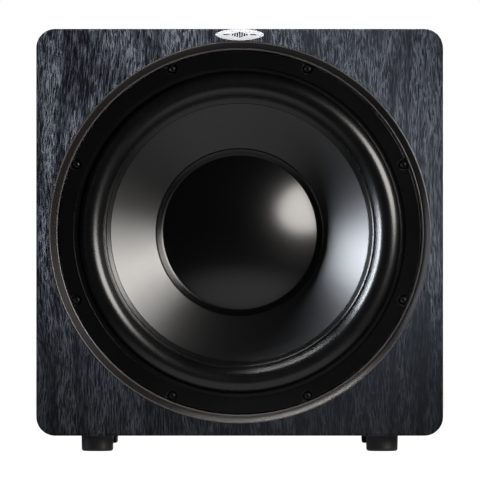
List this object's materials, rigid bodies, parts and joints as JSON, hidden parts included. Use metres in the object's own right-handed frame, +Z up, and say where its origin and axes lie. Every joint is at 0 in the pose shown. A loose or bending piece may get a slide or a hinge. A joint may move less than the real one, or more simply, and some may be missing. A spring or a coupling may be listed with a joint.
{
  "type": "subwoofer",
  "caption": "Powered sealed-box subwoofer: black ash cube cabinet on rubber feet, large front driver with rubber surround, amplifier plate behind.",
  "frame": {"origin": "on the floor, under the middle of the object's overall length from the badge to the heat sink, on the cabinet's middle plane", "axes": "+Z up; -Y is where the driver faces, so the amplifier plate faces +Y; +X is to the right for someone looking at the driver"},
  "size_m": [0.43, 0.4784, 0.447],
  "materials": {
    "black_ash_vinyl": "black ash wood-grain vinyl, satin",
    "raw_board": "bare fibreboard",
    "wadding": "polyester wadding",
    "foot_rubber": "moulded",
    "zinc_steel": "zinc plated",
    "badge_metal": "satin, white-silver",
    "badge_ink": "printed bar",
    "trim_paint": "satin dark brown-black",
    "foam": "closed-cell foam",
    "black_steel": "black powder coat",
    "surround_rubber": "satin",
    "ring_rubber": "matte",
    "cone_poly": "satin black",
    "cap_poly": "semi-gloss black",
    "former_foil": "polyimide",
    "copper": "enamelled wire",
    "spider_cloth": "resin-treated cotton",
    "motor_steel": "machined, passivated",
    "ferrite": "ground ferrite",
    "black_oxide": "black oxide",
    "phenolic": "phenolic board with lugs",
    "lead_braid": "braided copper",
    "wire_jacket": "PVC insulation",
    "amp_coat": "fine textured powder coat",
    "sink_anodised": "black anodised",
    "plated_sheet": "galvanised sheet",
    "board_green": "solder mask",
    "core_tape": "taped toroid",
    "capacitor_sleeve": "PVC sleeve",
    "package_epoxy": "moulded epoxy",
    "nickel": "nickel plated",
    "knob_plastic": "moulded, fine texture",
    "switch_plastic": "moulded",
    "led_epoxy": "tinted epoxy",
    "ring_white": "moulded white",
    "ring_red": "moulded red",
    "inlet_plastic": "moulded",
    "fuse_glass": "glass tube, metal ends"
  },
  "bodies": {
    "enclosure": {"cabinet_shell": "black_ash_vinyl", "front_baffle": "black_ash_vinyl", "rear_panel": "black_ash_vinyl", "window_brace": "raw_board", "damping_lining": "wadding", "rubber_feet": "foot_rubber", "foot_washers": "zinc_steel", "foot_screws": "zinc_steel", "badge_plate": "badge_metal", "badge_inlay": "badge_ink", "trim_ring": "trim_paint", "driver_gasket": "foam", "driver_basket": "black_steel", "surround": "surround_rubber", "gasket_ring": "ring_rubber", "spider": "spider_cloth", "top_plate": "motor_steel", "magnet_rings": "ferrite", "yoke": "motor_steel", "driver_screws": "black_oxide", "tee_nuts": "zinc_steel", "terminal_block": "phenolic", "tinsel_leads": "lead_braid", "speaker_wires": "wire_jacket", "wire_grommet": "foot_rubber", "amp_gasket": "foam", "amp_plate": "amp_coat", "amp_screws": "black_oxide", "heat_sink": "sink_anodised", "amp_backbox": "plated_sheet", "main_board": "board_green", "board_standoffs": "zinc_steel", "transformer": "core_tape", "filter_capacitors": "capacitor_sleeve", "power_transistors": "package_epoxy", "preamp_board": "board_green", "volume_pot": "zinc_steel", "crossover_pot": "zinc_steel", "pot_nuts": "nickel", "switch_bodies": "zinc_steel", "status_led": "led_epoxy", "rca_barrels": "nickel", "rca_rings_white": "ring_white", "rca_rings_red": "ring_red", "rocker_housing": "inlet_plastic", "mains_inlet": "inlet_plastic", "mains_pins": "nickel"},
    "moving_assembly": {"cone": "cone_poly", "dust_cap": "cap_poly", "voice_coil_former": "former_foil", "voice_coil_winding": "copper"},
    "volume_control": {"volume_knob": "knob_plastic", "volume_shaft": "nickel"},
    "crossover_control": {"crossover_knob": "knob_plastic", "crossover_shaft": "nickel"},
    "phase_switch": {"phase_slider": "switch_plastic"},
    "mode_switch": {"mode_slider": "switch_plastic"},
    "power_switch": {"power_rocker": "switch_plastic"},
    "fuse_holder": {"fuse_drawer": "inlet_plastic", "fuse": "fuse_glass"}
  },
  "joints": [
    {"name": "cone_travel", "type": "slide", "parent": "enclosure", "child": "moving_assembly", "axis": [0, -1, 0], "range_m": [-0.015, 0.015], "stiffness_N_per_m": 6000, "deforming": ["surround", "spider", "tinsel_leads"]},
    {"name": "volume_turn", "type": "hinge", "parent": "enclosure", "child": "volume_control", "pos_m": [0.072, 0.2247, 0.336], "axis": [0, -1, 0], "range_deg": [-150, 150]},
    {"name": "crossover_turn", "type": "hinge", "parent": "enclosure", "child": "crossover_control", "pos_m": [0.018, 0.2247, 0.336], "axis": [0, -1, 0], "range_deg": [-150, 150]},
    {"name": "phase_slide", "type": "slide", "parent": "enclosure", "child": "phase_switch", "axis": [-1, 0, 0], "range_m": [0, 0.006]},
    {"name": "mode_slide", "type": "slide", "parent": "enclosure", "child": "mode_switch", "axis": [-1, 0, 0], "range_m": [-0.003, 0.003]},
    {"name": "power_rock", "type": "hinge", "parent": "enclosure", "child": "power_switch", "pos_m": [0.078, 0.2112, 0.122], "axis": [-1, 0, 0], "range_deg": [-18, 0]},
    {"name": "fuse_pull", "type": "slide", "parent": "enclosure", "child": "fuse_holder", "axis": [0, 1, 0], "range_m": [0, 0.02]}
  ]
}
